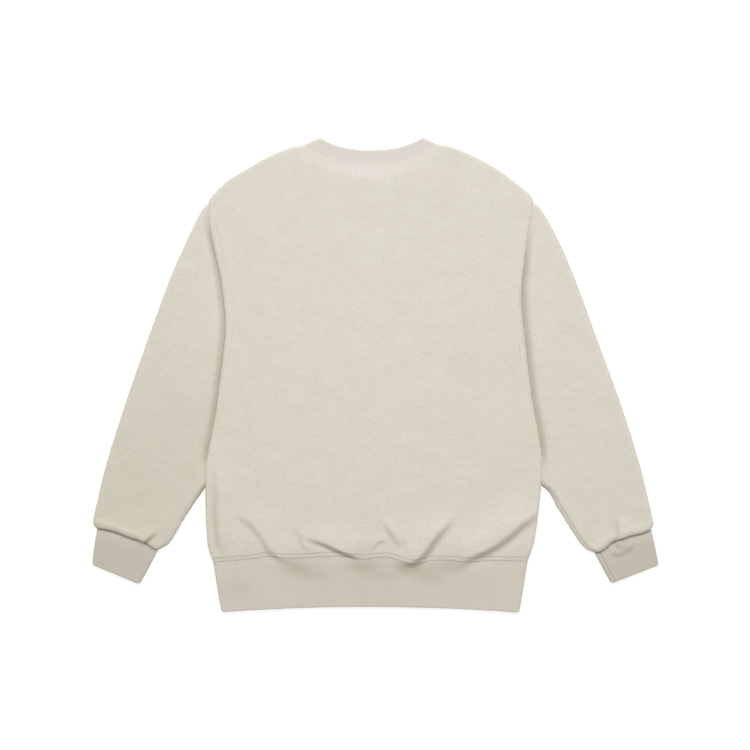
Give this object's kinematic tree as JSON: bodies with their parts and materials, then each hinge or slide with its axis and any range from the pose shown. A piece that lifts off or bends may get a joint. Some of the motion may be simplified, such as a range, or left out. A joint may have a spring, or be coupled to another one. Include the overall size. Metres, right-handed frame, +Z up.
{
  "type": "crewneck sweatshirt",
  "caption": "Crewneck sweatshirt in curly fleece, laid flat on its front with the sleeves beside the body, with rib-knit neck, cuffs and hem.",
  "frame": {"origin": "on the floor, under the middle of the garment's outline", "axes": "+Z up out of the garment's back, +Y towards the neck, +X to the right of someone looking down on the back"},
  "size_m": [0.8286, 0.6924, 0.0146],
  "materials": {
    "fleece": "short curly pile, matt",
    "rib_knit": "ribbed knit, matt"
  },
  "bodies": {
    "root": {"back_panel": "fleece", "front_panel": "fleece", "sleeve_left": "fleece", "sleeve_right": "fleece", "neck_rib": "rib_knit", "hem_rib": "rib_knit", "cuff_left": "rib_knit", "cuff_right": "rib_knit"}
  },
  "joints": []
}
